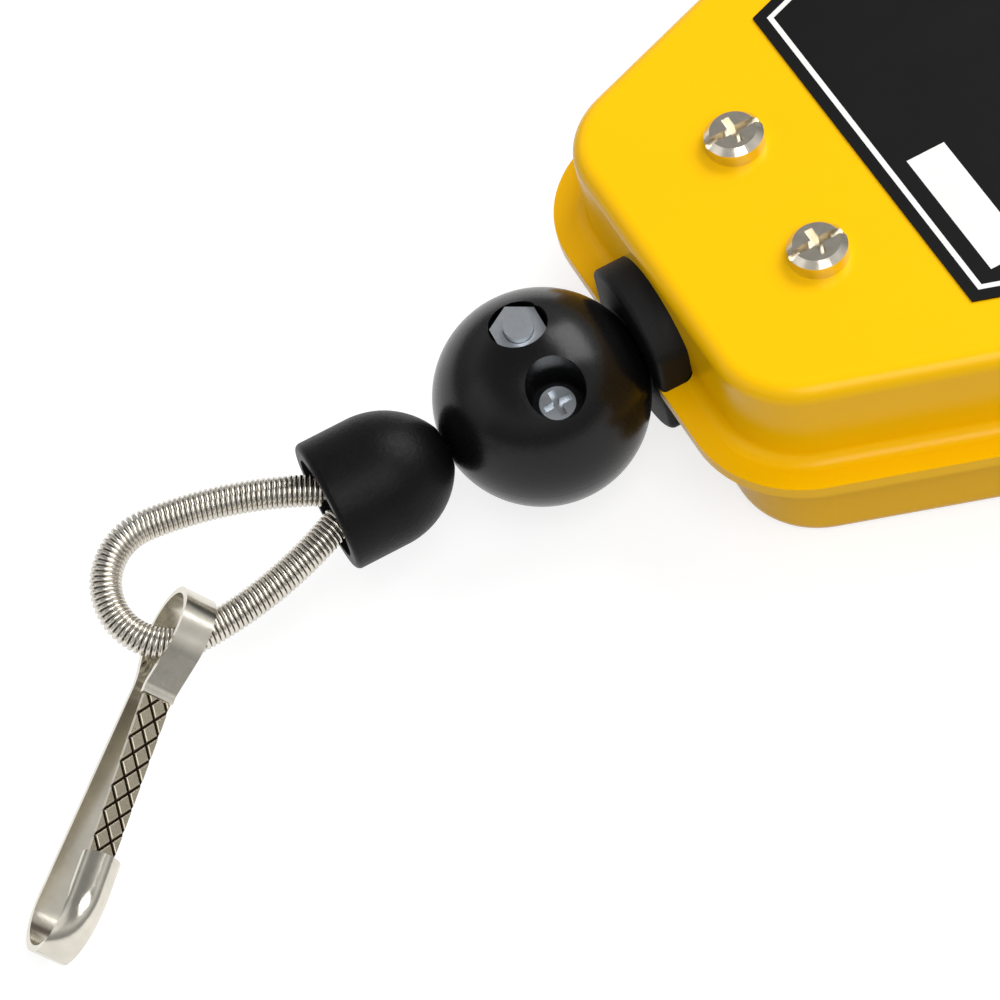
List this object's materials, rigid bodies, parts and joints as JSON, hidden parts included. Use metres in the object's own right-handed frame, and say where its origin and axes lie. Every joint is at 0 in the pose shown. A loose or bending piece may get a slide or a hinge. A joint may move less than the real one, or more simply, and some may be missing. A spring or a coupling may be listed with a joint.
{
  "type": "spring balancer",
  "caption": "Spring balancer: yellow two-shell case, wire rope on a spring drum, black stop ball and bell cap, wire loop with snap hook, swivel hanger hook.",
  "frame": {"origin": "on the back cover's flat face, on the case's centre line, level with the drum's axis", "axes": "+Z out of the front cover, +Y along the rope towards the hanger, +X across the case"},
  "size_m": [0.1058, 0.2677, 0.0338],
  "materials": {
    "yellow_paint": "semi-gloss yellow coating on sheet steel",
    "black_label": "printed black sheet, bare",
    "black_rubber": "matte moulded rubber",
    "black_plastic": "satin moulded plastic",
    "ball_plastic": "semi-gloss moulded plastic",
    "nickel_steel": "nickel-plated steel",
    "spring_steel": "drawn spring steel",
    "zinc_steel": "zinc-plated steel",
    "turned_steel": "turned steel",
    "bronze": "sintered bronze bearing",
    "cast_alloy": "die-cast light alloy",
    "wheel_brass": "cut brass",
    "wire_rope": "stranded steel wire rope",
    "copper_crimp": "pressed copper sleeve",
    "blue_spring": "tempered strip steel"
  },
  "bodies": {
    "housing": {"front_cover": "yellow_paint", "back_cover": "yellow_paint", "rope_guide": "black_rubber", "cover_screws": "nickel_steel", "cover_sleeves": "zinc_steel", "front_plate": "black_label", "back_bush": "bronze", "front_bush": "bronze", "worm_supports": "zinc_steel", "support_rivets": "zinc_steel", "hanger_bush": "bronze", "rope_lead": "wire_rope"},
    "arbor_set": {"arbor": "turned_steel", "wheel_key": "turned_steel", "worm_wheel": "wheel_brass"},
    "worm_screw": {"worm": "turned_steel"},
    "drum": {"rope_drum": "cast_alloy", "drum_cover": "cast_alloy", "drum_screws": "zinc_steel", "drum_bushes": "bronze", "rope_on_drum": "wire_rope", "rope_anchor": "copper_crimp", "mainspring": "blue_spring"},
    "rope_pull_end": {"rope_end": "wire_rope", "ball_half_front": "ball_plastic", "ball_half_back": "ball_plastic", "ball_screws": "nickel_steel", "ball_nuts": "nickel_steel", "bell_cap": "black_plastic", "crimp_sleeve": "copper_crimp", "loop_rope": "wire_rope", "loop_spring": "spring_steel"},
    "snap": {"snap_hook": "nickel_steel"},
    "gate": {"snap_gate": "nickel_steel"},
    "hanger": {"hanger_hook": "nickel_steel", "hanger_nut": "zinc_steel", "hanger_pin": "zinc_steel", "latch_pin": "zinc_steel"},
    "latch": {"hanger_latch": "nickel_steel"}
  },
  "joints": [
    {"name": "rope_pull", "type": "slide", "parent": "housing", "child": "rope_pull_end", "axis": [0, -1, 0], "range_m": [0, 1], "stiffness_N_per_m": 5, "springref_m": -2},
    {"name": "drum_spin", "type": "hinge", "parent": "housing", "child": "drum", "pos_m": [0.0125, 0, 0.018], "axis": [0, 0, 1], "range_deg": [0, 2008.35], "deforming": ["rope_on_drum", "mainspring"]},
    {"name": "worm_spin", "type": "hinge", "parent": "housing", "child": "worm_screw", "pos_m": [-0.00215, 0, 0.0045], "axis": [0, 1, 0], "continuous": true},
    {"name": "arbor_spin", "type": "hinge", "parent": "housing", "child": "arbor_set", "pos_m": [0.0125, 0, 0.005], "axis": [0, 0, 1], "continuous": true},
    {"name": "snap_swing", "type": "hinge", "parent": "rope_pull_end", "child": "snap", "pos_m": [0.00645, -0.13211, 0.0146], "axis": [-0.4749, -0.5834, 0.6589], "range_deg": [0, 70]},
    {"name": "gate_flex", "type": "hinge", "parent": "snap", "child": "gate", "pos_m": [0.01323, -0.13832, 0.01398], "axis": [0.4749, 0.5834, -0.6589], "range_deg": [0, 16], "stiffness_Nm_per_rad": 0.03, "springref_deg": -11.46},
    {"name": "hanger_swivel", "type": "hinge", "parent": "housing", "child": "hanger", "pos_m": [0, 0.048, 0.016], "axis": [0, 1, 0], "continuous": true},
    {"name": "latch_swing", "type": "hinge", "parent": "hanger", "child": "latch", "pos_m": [0.0066, 0.0632, 0.016], "axis": [0, 0, 1], "range_deg": [0, 38], "stiffness_Nm_per_rad": 0.02, "springref_deg": -28.65}
  ],
  "couplings": [
    {"joint": "drum_spin", "follows": "rope_pull", "rad_per_m": 34.965},
    {"joint": "arbor_spin", "follows": "worm_spin", "ratio": 0.029412}
  ]
}
